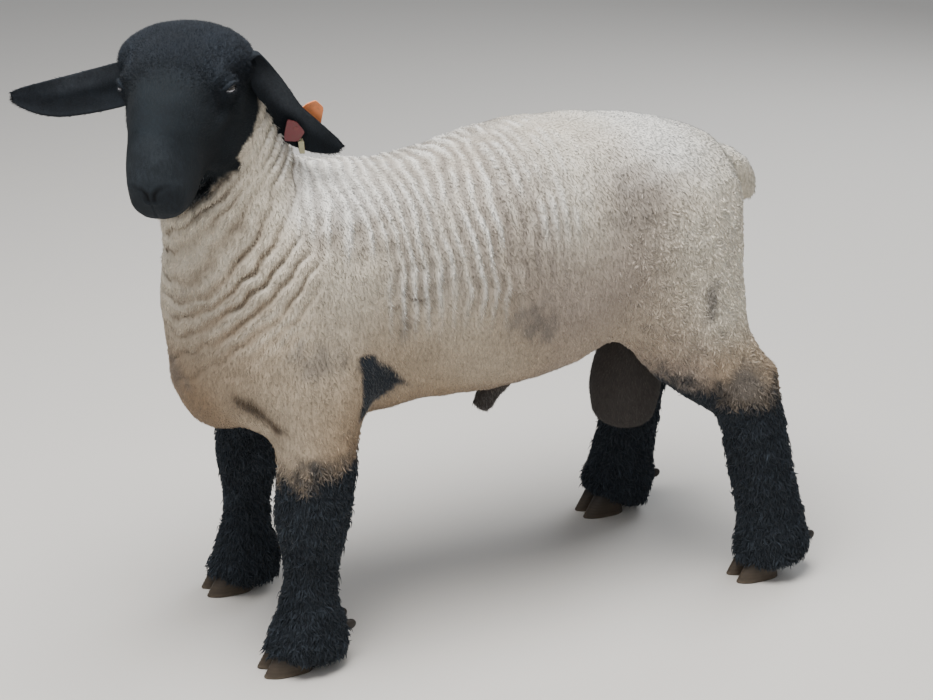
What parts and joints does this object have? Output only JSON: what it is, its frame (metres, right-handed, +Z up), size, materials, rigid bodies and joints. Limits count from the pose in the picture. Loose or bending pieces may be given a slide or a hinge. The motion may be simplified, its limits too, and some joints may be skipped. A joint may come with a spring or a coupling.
{
  "type": "shorn black-faced ram lamb",
  "caption": "Life-size model of a shorn black-faced ram lamb, standing with its head turned to its left and tags in its left ear.",
  "frame": {"origin": "on the floor, under the middle of the lamb's bounding box", "axes": "the lamb faces -Y, its left flank looks along +X and +Z is up"},
  "size_m": [0.3948, 1.0622, 0.8546],
  "materials": {
    "shorn_wool": "short matt cream wool, shorn close",
    "black_wool": "short matt black hair and wool",
    "bare_skin": "dull dark grey-brown skin with thin hair",
    "hoof_horn": "dull grey-brown horn",
    "eyeball": "wet dark brown",
    "orange_tag": "plain orange, a little faded",
    "red_tag": "plain dark red",
    "pale_clip": "plain pale yellow-green"
  },
  "bodies": {
    "root": {"barrel": "shorn_wool", "claw_foreleg_left_a": "hoof_horn", "claw_foreleg_left_b": "hoof_horn", "claw_foreleg_right_a": "hoof_horn", "claw_foreleg_right_b": "hoof_horn", "claw_hindleg_left_a": "hoof_horn", "claw_hindleg_left_b": "hoof_horn", "claw_hindleg_right_a": "hoof_horn", "claw_hindleg_right_b": "hoof_horn", "dewclaw_foreleg_left_a": "hoof_horn", "dewclaw_foreleg_left_b": "hoof_horn", "dewclaw_foreleg_right_a": "hoof_horn", "dewclaw_foreleg_right_b": "hoof_horn", "dewclaw_hindleg_left_a": "hoof_horn", "dewclaw_hindleg_left_b": "hoof_horn", "dewclaw_hindleg_right_a": "hoof_horn", "dewclaw_hindleg_right_b": "hoof_horn", "ear_left": "black_wool", "ear_right": "black_wool", "eye_left": "eyeball", "eye_right": "eyeball", "foreleg_left_lower": "black_wool", "foreleg_left_upper": "shorn_wool", "foreleg_right_lower": "black_wool", "foreleg_right_upper": "shorn_wool", "forequarter": "shorn_wool", "head": "black_wool", "hindleg_left_lower": "black_wool", "hindleg_left_upper": "shorn_wool", "hindleg_right_lower": "black_wool", "hindleg_right_upper": "shorn_wool", "hindquarter": "shorn_wool", "neck": "shorn_wool", "scrotum": "bare_skin", "sheath": "bare_skin", "tag_clip": "pale_clip", "tag_inner": "red_tag", "tag_outer": "orange_tag", "tag_pin": "red_tag", "tail": "shorn_wool"}
  },
  "joints": []
}
